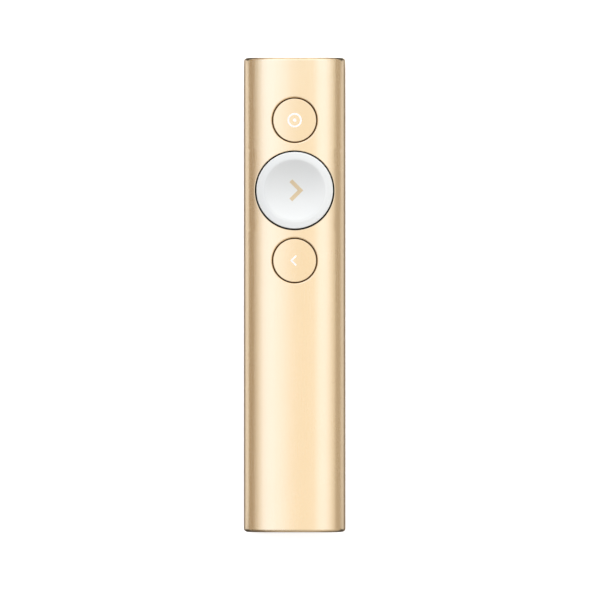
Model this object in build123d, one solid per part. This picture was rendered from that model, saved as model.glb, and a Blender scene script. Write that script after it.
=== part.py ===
from build123d import *
from math import copysign, cos, hypot, pi, radians, sin, sqrt, tan
import os

# Wireless presentation clicker, lying on its back: X runs across it, Y towards its nose and Z out
# of its front. The origin is under the middle of the flat strip on its back. Millimetres.

# ---- the tube ----
tube_length = 131.2
tube_width = 28.1
tube_height = 11.7         # flat strip on the back to the crown of the front
planed_depth = 0.25        # what is planed off the back of the oval to make it lie flat
crown_radius = 60.0        # section: a flat crown arc, then a shoulder arc, then a side arc
crown_turn = 5.0           # degrees from upright where the crown meets the shoulder
shoulder_turn = 22.0       # and where the shoulder meets the side
side_wall = 2.0
face_wall = 1.15
end_round_side = 1.1       # how far the rounded ends draw in at the sides
end_round_face = 0.7       # and on the front and back
end_round_length = 0.9

# ---- the buttons ----
next_step = 36.69          # middle of the next button behind the end of the tube
button_pitch = 19.4
next_hole_radius = 11.0
small_hole_radius = 6.2
next_button_gap = 0.42     # between the next button's cap and its hole
small_button_gap = 0.22    # and between a small cap and its hole
next_hole_round = 0.3
small_hole_round = 0.5
cap_edge_round = 0.2
small_cap_crown = 70.0     # radius of the small caps' tops, a little flatter than the tube
small_cap_thickness = 1.5
ring_width = 2.06          # flat ring round the next button's dish
ring_rise = 0.4            # ring above the tube's front
dish_depth = 0.9
press_travel = 0.35
press_spare = 0.15         # carrier above the deck when the button is down
carrier_thickness = 0.8
carrier_inset = 0.6        # carrier's edge inside the cap's edge
next_rim_width = 1.55      # wall of the next cap round its carrier
next_rim_drop = 0.9        # how far that wall hangs below the carrier's top
stem_radius = 1.3
leg_thickness = 0.7
leg_width = 2.4
leg_inset = 2.0            # legs inside the carrier's edge
hook_reach = 0.5
hook_height = 0.55

# ---- board, battery, deck and switches ----
floor_thickness = 1.3      # chassis floor, at its middle
tray_wall = 1.85           # chassis walls beside the board
tape_thickness = 0.3
battery_corner = 0.8
battery_headroom = 0.4     # under the board
battery_gap = 0.8          # between charging socket and battery
battery_end_gap = 2.4      # between battery and rear screw bosses
board_thickness = 0.8
board_end_gap = 1.0        # board to the front of the chassis
switch_size = 4.5
switch_height = 0.9
switch_floor = 0.1
switch_corner = 0.4
plunger_radius = 0.95
plunger_edge = 0.15
plunger_spare = 0.1        # plunger above the switch's case when the button is down
dome_radius = 1.6
dome_sheet = 0.08
dome_spare = 0.05          # height left in the dome when the button is down
dome_headroom = 0.1        # above the dome at rest
deck_gap = 0.2             # between switch cases and deck
deck_thickness = 0.8
deck_margin = 2.3          # deck beyond its screws
foot_radius = 0.9
foot_step = 9.0            # deck's feet, before and behind the next button's middle
foot_inset = 0.6           # from the ledge the board lies on
deck_screw_inset = 3.1     # deck screws, in from the chassis walls
rear_screw_step = 9.3      # rear deck screws, behind the back button
front_screw_step = 5.1     # front deck screws, behind the front of the chassis
screw_radius = 0.7
screw_head_radius = 1.2
screw_head_height = 0.6
screw_head_edge = 0.3
screw_length = 3.3         # under the head
boss_radius = 1.9
ledge_width = 0.8          # ledge in the chassis that the board lies on
bulkhead = 4.0             # solid block at the tail end of the chassis
front_wall = 1.5           # and below the board at its nose end
lip = 1.2                  # upright wall behind the board
flank_rise = 1.2           # sloping flanks beside the battery
flank_run = 1.7
tape_margin = 1.0
chip_chamfer = 0.1
radio_size = (6.0, 6.0, 0.9)
sensor_size = (3.0, 2.5, 0.8)
sensor_inset = 5.1         # in from the chassis wall
sensor_step = 7.0          # behind the deck
charger_size = (3.0, 3.0, 0.75)
charger_step = 4.8         # ahead of the charging socket
antenna_size = (5.0, 1.6, 0.9)
antenna_inset = 4.1        # in from the chassis wall
antenna_step = 1.0         # behind the board's front edge

# ---- leads ----
lead_radius = 0.3
lead_pitch = 1.6
lead_rise = 0.9            # above the underside of the battery
lead_straight = 2.4        # level run at each end of the battery's leads
lead_climb = 2.7           # length over which they climb between
battery_socket_size = (4.4, 3.4, 1.2)
motor_lead_radius = 0.2
motor_lead_reach = 3.4     # behind the motor
motor_lead_drop = 0.4      # below the motor's axis

# ---- vibration motor ----
motor_length = 8.0
motor_start = 1.0          # ahead of the next button's middle
motor_pocket = 0.3         # pocket in the chassis floor under the motor
motor_clearance = 0.05     # above the pocket
motor_headroom = 0.15      # under the board
motor_edge = 0.25
motor_shaft_radius = 0.4
motor_shaft_grip = 2.0     # length of shaft inside the can
motor_shaft_end = 0.4      # beyond the weight
weight_length = 3.2
weight_gap = 1.0
weight_room = 0.15         # under the weight
hub_wall = 0.5
pocket_margin = 0.6        # pocket beside the can
pocket_end = 1.0           # and beyond the can and the weight
pad_wall = 1.3
pad_rise = 1.1             # pads above the middle of the can
pad_length = 6.0

# ---- receiver and its bay ----
plug_width = 12.0
plug_height = 4.5
plug_length = 12.0
plug_sheet = 0.3
plug_corner = 0.4
plug_window_size = 2.1     # square windows in the plug's two wide sides
plug_window_x = 2.25
plug_window_step = 6.2     # middle of the windows behind the plug's tip
plug_tongue_height = 1.9
plug_tongue_end = 0.4      # behind the plug's tip
contact_width = 1.0
contact_thickness = 0.15
contact_end = 1.4          # behind the plug's tip
inner_contact = (1.0, 6.4) # place across and length of the inner pair
outer_contact = (3.5, 7.4)
receiver_board_thickness = 0.8
receiver_width = 16.8
receiver_height = 6.2
receiver_grip = 8.5
receiver_corner = 1.8
receiver_wall = 0.8
receiver_gap = 0.2         # receiver in its bay
recess_width = 10.0
recess_height = 4.4
recess_depth = 2.6
recess_corner = 0.6
strap_height = 3.0
strap_thickness = 0.7
bay_wall = 0.6
bay_end_wall = 0.8
bay_end_gap = 1.25         # ahead of the plug
bay_screw_x = 7.0
bay_screw_drop = 1.45      # bay screws below the middle of the bay
bezel_depth = 2.2          # bezel inside the tube

# ---- charging socket ----
socket_width = 8.94
socket_height = 3.16
socket_length = 7.3
socket_sheet = 0.3
socket_proud = 0.2         # into the bay
socket_gap = 0.13
socket_back = 1.5
socket_sink = 1.2          # middle of the socket below the top of the board
socket_tongue_width = 6.7
socket_tongue_height = 0.7
socket_tongue_corner = 0.2
socket_mouth_depth = 1.0   # from the socket's mouth to the end of its tongue
ear_root = 1.2             # ears start this far inside the socket's sides
ear_width = 1.1
ear_length = 1.6
ear_thickness = 0.25

# ---- ends and light ----
end_proud = 0.05           # end caps stand this far out of the tube
nose_cap_depth = 3.0       # nose cap inside the tube
nose_cap_wall = 1.0
end_edge_round = 0.2
pipe_radius = 0.7
pipe_head_radius = 1.1
pipe_head_length = 0.5
pipe_boss = 0.8
led_length = 0.8
led_width = 1.6
led_height = 0.6

# ---- clearances ----
slide_gap = 0.1            # chassis, deck and bay in the tube
glue_gap = 0.05            # glued end caps in the tube
pocket_gap = 0.1           # pieces dropped into pockets
running_gap = 0.05         # radial, moving round pieces in their holes
hook_gap = 0.05            # hooks under the deck at rest
slot_gap = 0.25            # legs and stems in the deck
thread_gap = 0.02          # screws in the holes they are driven into
past = 1.0                 # what is cut away runs past what it is cut from
hair = 0.01                # what a full round falls short of half its height

# ---- levels and places worked out from these ----
half_width = tube_width / 2
oval_depth = (tube_height + planed_depth) / 2
middle = tube_height - oval_depth
bore_half_width = half_width - side_wall
bore_depth = oval_depth - face_wall
nose = tube_length / 2
tail = -nose
tail_face = tail - end_proud
nose_face = nose + end_proud

carrier_top = tube_height - small_cap_thickness
carrier_bottom = carrier_top - carrier_thickness
next_cap_bottom = carrier_top - next_rim_drop
deck_top = carrier_bottom - press_travel - press_spare
deck_bottom = deck_top - deck_thickness
switch_top = deck_bottom - deck_gap
plunger_top = switch_top + press_travel + plunger_spare
board_top = switch_top - switch_height
plunger_bottom = board_top + switch_floor + dome_spare + press_travel
board_bottom = board_top - board_thickness
tray_bottom = middle - bore_depth + slide_gap
tray_floor = tray_bottom + floor_thickness
battery_bottom = tray_floor + tape_thickness
battery_thickness = board_bottom - battery_headroom - battery_bottom

bay_width = receiver_width + 2 * receiver_gap
bay_height = receiver_height + 2 * receiver_gap
bay_corner = receiver_corner + receiver_gap
plug_start = tail_face + receiver_grip
plug_tip = plug_start + plug_length
bay_end = plug_tip + bay_end_gap
bezel_front = tail + bezel_depth

chassis_rear = bay_end + bay_end_wall
chassis_front = nose - nose_cap_depth
tray_half_width = bore_half_width - slide_gap - tray_wall
board_width = 2 * (tray_half_width - pocket_gap)
ledge_half_width = tray_half_width - ledge_width
battery_width = 2 * (ledge_half_width - flank_run - pocket_gap)
board_rear = chassis_rear + lip
board_front = chassis_front - board_end_gap
socket_mouth = bay_end - socket_proud
socket_rear = socket_mouth + socket_length
socket_z = board_top - socket_sink

next_y = nose - next_step
pointer_y = next_y + button_pitch
back_y = next_y - button_pitch
next_cap_radius = next_hole_radius - next_button_gap
small_cap_radius = small_hole_radius - small_button_gap
deck_screw_x = tray_half_width - deck_screw_inset
rear_screw_y = back_y - rear_screw_step
front_screw_y = chassis_front - front_screw_step
deck_rear = rear_screw_y - deck_margin
deck_front = front_screw_y + deck_margin
battery_rear = socket_rear + battery_gap
battery_front = rear_screw_y - boss_radius - battery_end_gap
battery_socket_rear = battery_front + 2 * lead_straight + lead_climb

motor_rear = next_y + motor_start
motor_front = motor_rear + motor_length
motor_floor = tray_floor - motor_pocket
motor_radius = (board_bottom - motor_headroom - motor_floor - motor_clearance) / 2
motor_z = motor_floor + motor_clearance + motor_radius
weight_rear = motor_front + weight_gap
weight_front = weight_rear + weight_length
weight_radius = motor_z - motor_floor - weight_room

light_z = board_top + led_height / 2


# ---- simple shapes ----
def block(x, y, z):
    """Box between two limits along each axis."""
    size = [high - low for low, high in (x, y, z)]
    centre = [(low + high) / 2 for low, high in (x, y, z)]
    return Pos(*centre) * Box(*size)


def post(radius, bottom, top, x=0, y=0):
    """Round post along Z."""
    return Pos(x, y, (bottom + top) / 2) * Cylinder(radius, top - bottom)


def rod(radius, rear, front, x, z):
    """Round rod along Y."""
    return Pos(x, (rear + front) / 2, z) * Rot(90, 0, 0) * Cylinder(radius, front - rear)


def bar(width, height, corner, rear, front, z):
    """Bar along Y, centred on X, with rounded corners."""
    across = Plane(origin=(0, rear, z), x_dir=(1, 0, 0), z_dir=(0, 1, 0))
    return extrude(across * RectangleRounded(width, height, corner), amount=front - rear)


def one_solid(shape):
    """The largest solid of a shape, clear of its wrapper."""
    return sorted(shape.solids(), key=lambda solid: solid.volume)[-1]


# ---- the oval section ----
def oval_arcs(width, depth):
    """Radius and middle of the crown, shoulder and side arcs of an oval of this half size."""
    flat = radians(crown_turn)
    steep = radians(shoulder_turn)
    crown = crown_radius - (oval_depth - depth)
    across = width - crown * sin(flat)
    down = depth - crown * (1 - cos(flat))
    shoulder_run = sin(steep) - sin(flat)
    shoulder_fall = cos(flat) - cos(steep)
    side_run = 1 - sin(steep)
    scale = shoulder_run * cos(steep) - side_run * shoulder_fall
    shoulder = (across * cos(steep) - side_run * down) / scale
    side = (shoulder_run * down - shoulder_fall * across) / scale
    shoulder_middle = ((crown - shoulder) * sin(flat), depth - crown + (crown - shoulder) * cos(flat))
    return (crown, 0, depth - crown), (shoulder, *shoulder_middle), (side, width - side, 0)


def oval(width, depth, y):
    """Oval face across the tube at y, from its half width and half depth."""
    crown, shoulder, side = oval_arcs(width, depth)
    flat = radians(crown_turn)
    steep = radians(shoulder_turn)

    def spot(arc, turn, right, up):
        radius, x, z = arc
        return (right * (x + radius * sin(turn)), y, middle + up * (z + radius * cos(turn)))

    edges = []
    for up in (1, -1):
        edges.append(ThreePointArc(spot(crown, flat, -1, up), spot(crown, 0, 1, up),
                                   spot(crown, flat, 1, up)))
        for right in (1, -1):
            turns = (flat, (flat + steep) / 2, steep)
            edges.append(ThreePointArc(*[spot(shoulder, turn, right, up) for turn in turns]))
    for right in (1, -1):
        edges.append(ThreePointArc(spot(side, steep, right, 1), spot(side, pi / 2, right, 1),
                                   spot(side, steep, right, -1)))
    return Face(Wire(edges))


def crown_height(x):
    """Height of the tube's front at x."""
    for radius, arc_x, arc_z in oval_arcs(half_width, oval_depth):
        from_arc = abs(x) - arc_x
        height = arc_z + sqrt(max(radius ** 2 - from_arc ** 2, 0))
        last = radians(crown_turn if arc_x == 0 else shoulder_turn)
        if from_arc <= radius * sin(last):
            break
    return middle + height


def inner_oval(gap, rear, front):
    """Bar along Y that fills the bore of the tube but for this gap."""
    section = oval(bore_half_width - gap, bore_depth - gap, rear)
    return extrude(section, amount=front - rear, dir=(0, 1, 0))


def rim(solid, radius, y):
    """The edges of this radius round y that lie on the front of the casing or above it."""
    found = []
    for edge in solid.edges():
        spot = edge @ 0.5
        round_y = abs(hypot(spot.X, spot.Y - y) - radius) < hair
        if round_y and edge.geom_type != GeomType.LINE and spot.Z > crown_height(spot.X) - face_wall / 2:
            found.append(edge)
    return found


# ---- casing ----
def end_section(turn, side):
    """Section in the rounded end: turn is 0 where the end starts and a right angle at the very end."""
    inset = 1 - cos(turn)
    y = side * (nose - end_round_length * (1 - sin(turn)))
    return oval(half_width - end_round_side * inset, oval_depth - end_round_face * inset, y)


def make_body_shell():
    """Extruded tube: ends rounded over, back planed flat, three holes in the front."""
    steps = 4
    turns = [pi / 2 * step / steps for step in range(steps + 1)]
    shell = extrude(end_section(0, -1), amount=tube_length - 2 * end_round_length, dir=(0, 1, 0))
    for side in (-1, 1):
        shell = shell + loft([end_section(turn, side) for turn in turns], ruled=True)
    shell = shell & block((-tube_width, tube_width), (2 * tail, 2 * nose), (0, 2 * tube_height))
    shell = shell - inner_oval(0, tail - past, nose + past)
    holes = ((pointer_y, small_hole_radius, small_hole_round),
             (next_y, next_hole_radius, next_hole_round),
             (back_y, small_hole_radius, small_hole_round))
    for y, radius, rounding in holes:
        shell = shell - post(radius, middle, 2 * tube_height, y=y)
    for y, radius, rounding in holes:
        shell = fillet(rim(shell, radius, y), rounding)
    return one_solid(shell)


def make_top_cap():
    """Moulded plug in the nose, hollow inside, with a boss for the light pipe."""
    cap = inner_oval(glue_gap, chassis_front, nose_face)
    cap = fillet(cap.faces().sort_by(Axis.Y)[-1].edges(), end_edge_round)
    hollow = inner_oval(glue_gap + nose_cap_wall, chassis_front - past, nose_face - nose_cap_wall)
    boss = rod(pipe_radius + pipe_boss, chassis_front + pipe_head_length, nose, 0, light_z)
    cap = cap - (hollow - boss)
    return one_solid(cap - rod(pipe_radius + glue_gap, chassis_front - past, nose_face + past, 0, light_z))


def make_base_bezel():
    """Moulded ring that closes the tail round the mouth of the receiver bay."""
    bezel = inner_oval(glue_gap, tail_face, bezel_front)
    bezel = fillet(bezel.faces().sort_by(Axis.Y)[0].edges(), end_edge_round)
    mouth = bar(bay_width, bay_height, bay_corner, tail_face - past, bezel_front + past, middle)
    return one_solid(bezel - mouth)


# ---- chassis, deck and their screws ----
def screw_places():
    """The middles of the deck's four screws."""
    return [(side * deck_screw_x, y) for y in (rear_screw_y, front_screw_y) for side in (-1, 1)]


def tray_hollow(rear, front):
    """Space in the chassis below the board."""
    bed = battery_width / 2 + pocket_gap
    flank = tray_floor + flank_rise
    outline = [(bed, tray_floor), (ledge_half_width, flank), (ledge_half_width, board_bottom)]
    mirrored = [(-x, z) for x, z in reversed(outline)]
    section = Face(Wire.make_polygon([(x, rear, z) for x, z in outline + mirrored]))
    return extrude(section, amount=front - rear, dir=(0, 1, 0))


def make_chassis():
    """Moulded tray that slides into the tube, with ledges for the board and bosses for screws."""
    tray = inner_oval(slide_gap, chassis_rear, chassis_front)
    tray = tray - block((-tube_width, tube_width), (tail, nose), (deck_bottom, tube_height))
    tray = tray - tray_hollow(chassis_rear + bulkhead, chassis_front - front_wall)
    over_board = (-tray_half_width, tray_half_width)
    tray = tray - block(over_board, (board_rear - pocket_gap, nose), (board_bottom, tube_height))
    for x, y in screw_places():
        boss = post(boss_radius, tray_floor, deck_bottom, x, y)
        tray = tray + (boss & inner_oval(slide_gap, chassis_rear, chassis_front))
    for x, y in screw_places():
        tray = tray - post(screw_radius + thread_gap, deck_top - screw_length - pocket_gap, tube_height, x, y)
    half = socket_width / 2 + socket_gap
    tray = tray - block((-half, half), (chassis_rear - past, socket_rear + socket_gap),
                        (socket_z - socket_height / 2 - socket_gap, tube_height))
    for side in (-1, 1):
        tray = tray - rod(screw_radius + thread_gap, chassis_rear - past, bay_end + screw_length + pocket_gap,
                          side * bay_screw_x, middle - bay_screw_drop)
    pocket = motor_radius + pocket_margin
    tray = tray - block((-pocket, pocket), (motor_rear - pocket_end, weight_front + pocket_end),
                        (motor_floor, middle))
    return one_solid(tray)


def leg_x(cap_radius):
    """How far a carrier's legs stand from its middle."""
    return cap_radius - carrier_inset - leg_inset


def buttons():
    """The name, place and cap radius of each button."""
    return (("pointer", pointer_y, small_cap_radius),
            ("next", next_y, next_cap_radius),
            ("back", back_y, small_cap_radius))


def make_button_deck():
    """Plate over the board: it guides the stems and legs, and its feet hold the board down."""
    deck = inner_oval(slide_gap, deck_rear, deck_front)
    deck = deck & block((-tube_width, tube_width), (tail, nose), (deck_bottom, deck_top))
    foot_x = ledge_half_width - foot_inset
    for x in (-foot_x, foot_x):
        for y in (next_y - foot_step, next_y + foot_step):
            deck = deck + post(foot_radius, board_top, deck_bottom, x, y)
    for name, y, cap_radius in buttons():
        deck = deck - post(stem_radius + slot_gap, deck_bottom - past, deck_top + past, y=y)
        inner = leg_x(cap_radius) - leg_thickness / 2 - hook_reach - slot_gap
        outer = leg_x(cap_radius) + leg_thickness / 2 + pocket_gap
        half = leg_width / 2 + slot_gap
        for side in (-1, 1):
            across = sorted((side * inner, side * outer))
            deck = deck - block(across, (y - half, y + half), (deck_bottom - past, deck_top + past))
    for x, y in screw_places():
        deck = deck - post(screw_radius + pocket_gap, deck_bottom - past, deck_top + past, x, y)
    return one_solid(deck)


def make_deck_screws():
    """Four pan-head screws."""
    screws = []
    for x, y in screw_places():
        head = post(screw_head_radius, deck_top, deck_top + screw_head_height, x, y)
        head = fillet(head.faces().sort_by(Axis.Z)[-1].edges(), screw_head_edge)
        shank = post(screw_radius, deck_top - screw_length, deck_top, x, y)
        screws.append(one_solid(head + shank))
    return Compound(children=screws)


# ---- circuit board ----
def make_main_board():
    """Board with a notch for the charging socket and open slots round the screw bosses."""
    half = board_width / 2
    board = block((-half, half), (board_rear, board_front), (board_bottom, board_top))
    notch = socket_width / 2 + socket_gap
    through = (board_bottom - past, board_top + past)
    board = board - block((-notch, notch), (board_rear - past, socket_rear + socket_gap), through)
    slot = boss_radius + 2 * pocket_gap
    for x, y in screw_places():
        across = sorted((x - copysign(slot, x), copysign(half + past, x)))
        board = board - block(across, (y - slot, y + slot), through)
    return one_solid(board)


def make_chip(size, x, y):
    """Flat package soldered on top of the board."""
    width, length, height = size
    chip = block((x - width / 2, x + width / 2), (y - length / 2, y + length / 2),
                 (board_top, board_top + height))
    return chamfer(chip.faces().sort_by(Axis.Z)[-1].edges(), chip_chamfer)


def make_switch(y):
    """Switch case with a cavity for its dome and a bore for its plunger."""
    half = switch_size / 2
    case = block((-half, half), (y - half, y + half), (board_top, switch_top))
    case = fillet(case.edges().filter_by(Axis.Z), switch_corner)
    foot = board_top + switch_floor
    case = case - post(dome_radius + pocket_gap, foot, plunger_bottom + dome_headroom, y=y)
    return case - post(plunger_radius + running_gap, foot, switch_top + past, y=y)


def make_dome(y):
    """Thin snap dome, its rim on the floor of the switch and its crown under the plunger."""
    foot = board_top + switch_floor
    rise = plunger_bottom - foot - dome_sheet
    ball = (dome_radius ** 2 + rise ** 2) / (2 * rise)
    outer = Pos(0, y, foot + rise + dome_sheet - ball) * Sphere(ball)
    inner = Pos(0, y, foot + rise - ball) * Sphere(ball)
    return one_solid((outer - inner) & post(dome_radius, foot, switch_top, y=y))


def make_plunger(y):
    """Switch plunger, with a rounded top edge."""
    plunger = post(plunger_radius, plunger_bottom, plunger_top, y=y)
    return fillet(plunger.faces().sort_by(Axis.Z)[-1].edges(), plunger_edge)


# ---- buttons ----
def make_carrier(y, cap_radius, edge):
    """Disc glued under a cap, with a stem for the switch and two legs that hook under the deck."""
    carrier = post(edge, carrier_bottom, carrier_top, y=y)
    carrier = carrier + post(stem_radius, plunger_top, carrier_bottom, y=y)
    hook_top = deck_bottom - hook_gap
    for side in (-1, 1):
        near = side * (leg_x(cap_radius) - leg_thickness / 2)
        far = near + side * leg_thickness
        width = (y - leg_width / 2, y + leg_width / 2)
        leg = block(sorted((near, far)), width, (hook_top - hook_height, carrier_bottom))
        toe = [(far, hook_top - hook_height), (far, hook_top), (far + side * hook_reach, hook_top)]
        wedge = Face(Wire.make_polygon([(x, width[0], z) for x, z in toe]))
        carrier = carrier + leg + extrude(wedge, amount=leg_width, dir=(0, 1, 0))
    return one_solid(carrier)


def make_small_cap(y):
    """Small cap: a disc with a crowned top."""
    crowned = rod(small_cap_crown, y - small_cap_radius, y + small_cap_radius, 0,
                  tube_height - small_cap_crown)
    cap = one_solid(post(small_cap_radius, carrier_top, 2 * tube_height, y=y) & crowned)
    return fillet(rim(cap, small_cap_radius, y), cap_edge_round)


def over_dish(dish_radius, y):
    """Space over the next button's dish, which follows the tube's crown as it sinks."""
    steps = 16
    reach = dish_radius + ring_width / 4
    places = [-reach + 2 * reach * step / steps for step in range(steps + 1)]

    def floor(x, along):
        share = (x * x + along * along) / dish_radius ** 2
        return crown_height(x) + ring_rise - dish_depth * (1 - share)

    grid = [[Vector(x, y + along, floor(x, along)) for along in places] for x in places]
    sheet = Face.make_surface_from_array_of_points(grid)
    return Solid.extrude(sheet, Vector(0, 0, tube_height)) & post(dish_radius, middle, 2 * tube_height, y=y)


def make_next_cap():
    """Large white cap: a ring that follows the tube's crown, round a dish."""
    tube = extrude(oval(half_width, oval_depth, next_y - next_hole_radius), amount=2 * next_hole_radius,
                   dir=(0, 1, 0))
    cap = post(next_cap_radius, next_cap_bottom, 2 * tube_height, y=next_y) & (Pos(0, 0, ring_rise) * tube)
    cap = cap - over_dish(next_cap_radius - ring_width, next_y)
    recess = next_cap_radius - next_rim_width
    cap = one_solid(cap - post(recess, next_cap_bottom - past, carrier_top, y=next_y))
    return fillet(rim(cap, next_cap_radius, next_y), cap_edge_round)


# ---- battery ----
def make_battery():
    """Flat pouch cell on the chassis floor."""
    cell = bar(battery_width, battery_thickness, battery_corner, battery_rear, battery_front,
               battery_bottom + battery_thickness / 2)
    return one_solid(cell)


def make_battery_tape():
    """Strip of foam tape under the cell."""
    half = battery_width / 2 - tape_margin
    along = (battery_rear + tape_margin, battery_front - tape_margin)
    return block((-half, half), along, (tray_floor, battery_bottom))


def make_battery_socket():
    """Two-way socket on the underside of the board."""
    width, length, height = battery_socket_size
    along = (battery_socket_rear, battery_socket_rear + length)
    return block((-width / 2, width / 2), along, (board_bottom - height, board_bottom))


def corner_radius(before, corner, after):
    """Largest easy bend at a corner of a lead's route."""
    first = Vector(*corner) - Vector(*before)
    second = Vector(*after) - Vector(*corner)
    turn = first.get_angle(second) * pi / 180
    return 0.45 * min(first.length, second.length) / tan(turn / 2)


def lead(radius, points):
    """Round wire along a route of straight runs joined by arcs."""
    radii = [corner_radius(*points[i - 1:i + 2]) for i in range(1, len(points) - 1)]
    path = FilletPolyline(*points, radius=radii if len(radii) > 1 else radii[0])
    start = Plane(origin=path @ 0, z_dir=path % 0)
    return one_solid(sweep(start * Circle(radius), path=path))


def make_battery_leads():
    """Two wires from the cell to its socket."""
    leads = []
    low = battery_bottom + lead_rise
    high = board_bottom - battery_socket_size[2] / 2
    for side in (-1, 1):
        x = side * lead_pitch / 2
        leads.append(lead(lead_radius, [(x, battery_front, low),
                                        (x, battery_front + lead_straight, low),
                                        (x, battery_socket_rear - lead_straight, high),
                                        (x, battery_socket_rear, high)]))
    return Compound(children=leads)


# ---- vibration motor ----
def make_motor_can():
    """Motor can, with a bore in its front for the shaft."""
    can = rod(motor_radius, motor_rear, motor_front, 0, motor_z)
    can = fillet(can.edges(), motor_edge)
    bore_rear = motor_front - motor_shaft_grip - pocket_gap
    return one_solid(can - rod(motor_shaft_radius + running_gap, bore_rear, motor_front + past, 0, motor_z))


def make_motor_pads():
    """Two rubber pads on the chassis floor that grip the can between them."""
    half = motor_radius + pad_wall
    middle_y = (motor_rear + motor_front) / 2
    span = (middle_y - pad_length / 2, middle_y + pad_length / 2)
    pads = block((-half, half), span, (tray_floor, motor_z + pad_rise))
    pads = pads - rod(motor_radius, motor_rear, motor_front, 0, motor_z)
    return Compound(children=pads.solids())


def make_motor_shaft():
    """Shaft from inside the can to the end of the weight."""
    return rod(motor_shaft_radius, motor_front - motor_shaft_grip, weight_front + motor_shaft_end, 0, motor_z)


def make_motor_weight():
    """Half-round weight that hangs below the shaft, with a hub round it."""
    weight = rod(weight_radius, weight_rear, weight_front, 0, motor_z)
    weight = weight & block((-weight_radius, weight_radius), (weight_rear, weight_front), (0, motor_z))
    weight = weight + rod(motor_shaft_radius + hub_wall, weight_rear, weight_front, 0, motor_z)
    return one_solid(weight - rod(motor_shaft_radius, weight_rear, weight_front, 0, motor_z))


def make_motor_leads():
    """Two wires from the can's rear, up to the underside of the board."""
    leads = []
    low = motor_z - motor_lead_drop
    for side in (-1, 1):
        x = side * lead_pitch / 2
        leads.append(lead(motor_lead_radius, [(x, motor_rear, low),
                                              (x, motor_rear - motor_lead_reach, low),
                                              (x, motor_rear - motor_lead_reach, board_bottom)]))
    return Compound(children=leads)


# ---- charging socket ----
def make_charge_socket():
    """Steel shell of the charging socket, with ears that lie on the board."""
    corner = socket_height / 2 - hair
    shell = bar(socket_width, socket_height, corner, socket_mouth, socket_rear, socket_z)
    shell = shell - bar(socket_width - 2 * socket_sheet, socket_height - 2 * socket_sheet,
                        corner - socket_sheet, socket_mouth - past, socket_rear - socket_back, socket_z)
    ear_middle = (board_rear + socket_rear) / 2
    edge = socket_width / 2
    for side in (-1, 1):
        across = sorted((side * (edge - ear_root), side * (edge + ear_width)))
        ear = block(across, (ear_middle - ear_length / 2, ear_middle + ear_length / 2),
                    (board_top, board_top + ear_thickness))
        shell = shell + (ear - bar(socket_width - socket_sheet, socket_height - socket_sheet,
                                   corner - socket_sheet / 2, socket_mouth, socket_rear, socket_z))
    return one_solid(shell)


def make_charge_tongue():
    """Moulded tongue inside the charging socket."""
    return bar(socket_tongue_width, socket_tongue_height, socket_tongue_corner,
               socket_mouth + socket_mouth_depth, socket_rear - socket_back, socket_z)


# ---- receiver bay ----
def make_receiver_bay():
    """Moulded sleeve for the receiver; its end wall is open round the charging socket."""
    outer = bar(bay_width + 2 * bay_wall, bay_height + 2 * bay_wall, bay_corner + bay_wall,
                bezel_front, chassis_rear, middle)
    bay = outer - bar(bay_width, bay_height, bay_corner, bezel_front - past, bay_end, middle)
    opening = socket_height / 2 + socket_gap
    bay = bay - bar(socket_width + 2 * socket_gap, 2 * opening, opening - hair,
                    bay_end - past, chassis_rear + past, socket_z)
    for side in (-1, 1):
        bay = bay - rod(screw_radius + pocket_gap, bay_end - past, chassis_rear + past,
                        side * bay_screw_x, middle - bay_screw_drop)
    return one_solid(bay)


def make_bay_screws():
    """Two screws that hold the bay to the chassis; their heads are reached through the bay."""
    screws = []
    for side in (-1, 1):
        x = side * bay_screw_x
        z = middle - bay_screw_drop
        head = rod(screw_head_radius, bay_end - screw_head_height, bay_end, x, z)
        head = fillet(head.faces().sort_by(Axis.Y)[0].edges(), screw_head_edge)
        shank = rod(screw_radius, bay_end, bay_end + screw_length, x, z)
        screws.append(one_solid(head + shank))
    return Compound(children=screws)


# ---- receiver ----
def make_receiver_housing():
    """Receiver's moulded grip: hollow, with a nail recess in its tail."""
    grip = bar(receiver_width, receiver_height, receiver_corner, tail_face, plug_start, middle)
    grip = fillet(grip.faces().sort_by(Axis.Y)[0].edges(), end_edge_round)
    recess = bar(recess_width, recess_height, recess_corner, tail_face - past,
                 tail_face + recess_depth, middle)
    hollow_rear = tail_face + recess_depth + receiver_wall
    hollow = bar(receiver_width - 2 * receiver_wall, receiver_height - 2 * receiver_wall,
                 receiver_corner - receiver_wall, hollow_rear, plug_start - receiver_wall, middle)
    mouth = bar(plug_width, plug_height, plug_corner, hollow_rear, plug_start + past, middle)
    return one_solid(grip - recess - hollow - mouth)


def make_receiver_plug():
    """Folded steel shell of the USB plug, held in the grip's front wall."""
    rear = plug_start - receiver_wall
    shell = bar(plug_width, plug_height, plug_corner, rear, plug_tip, middle)
    shell = shell - bar(plug_width - 2 * plug_sheet, plug_height - 2 * plug_sheet,
                        plug_corner - plug_sheet, rear - past, plug_tip + past, middle)
    half = plug_window_size / 2
    window_y = plug_tip - plug_window_step
    for side in (-1, 1):
        x = side * plug_window_x
        shell = shell - block((x - half, x + half), (window_y - half, window_y + half), (0, tube_height))
    return one_solid(shell)


def plug_floor():
    """Inner face of the plug's lower side."""
    return middle - plug_height / 2 + plug_sheet


def make_receiver_tongue():
    """Moulded tongue along one side of the plug."""
    half = plug_width / 2 - plug_sheet - pocket_gap
    return block((-half, half), (plug_start - receiver_wall, plug_tip - plug_tongue_end),
                 (plug_floor(), plug_floor() + plug_tongue_height))


def make_receiver_contacts():
    """Four gilt contacts on the tongue."""
    contacts = []
    low = plug_floor() + plug_tongue_height
    front = plug_tip - contact_end
    for place, length in (inner_contact, outer_contact):
        for side in (-1, 1):
            x = side * place
            contacts.append(block((x - contact_width / 2, x + contact_width / 2), (front - length, front),
                                  (low, low + contact_thickness)))
    return Compound(children=contacts)


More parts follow.
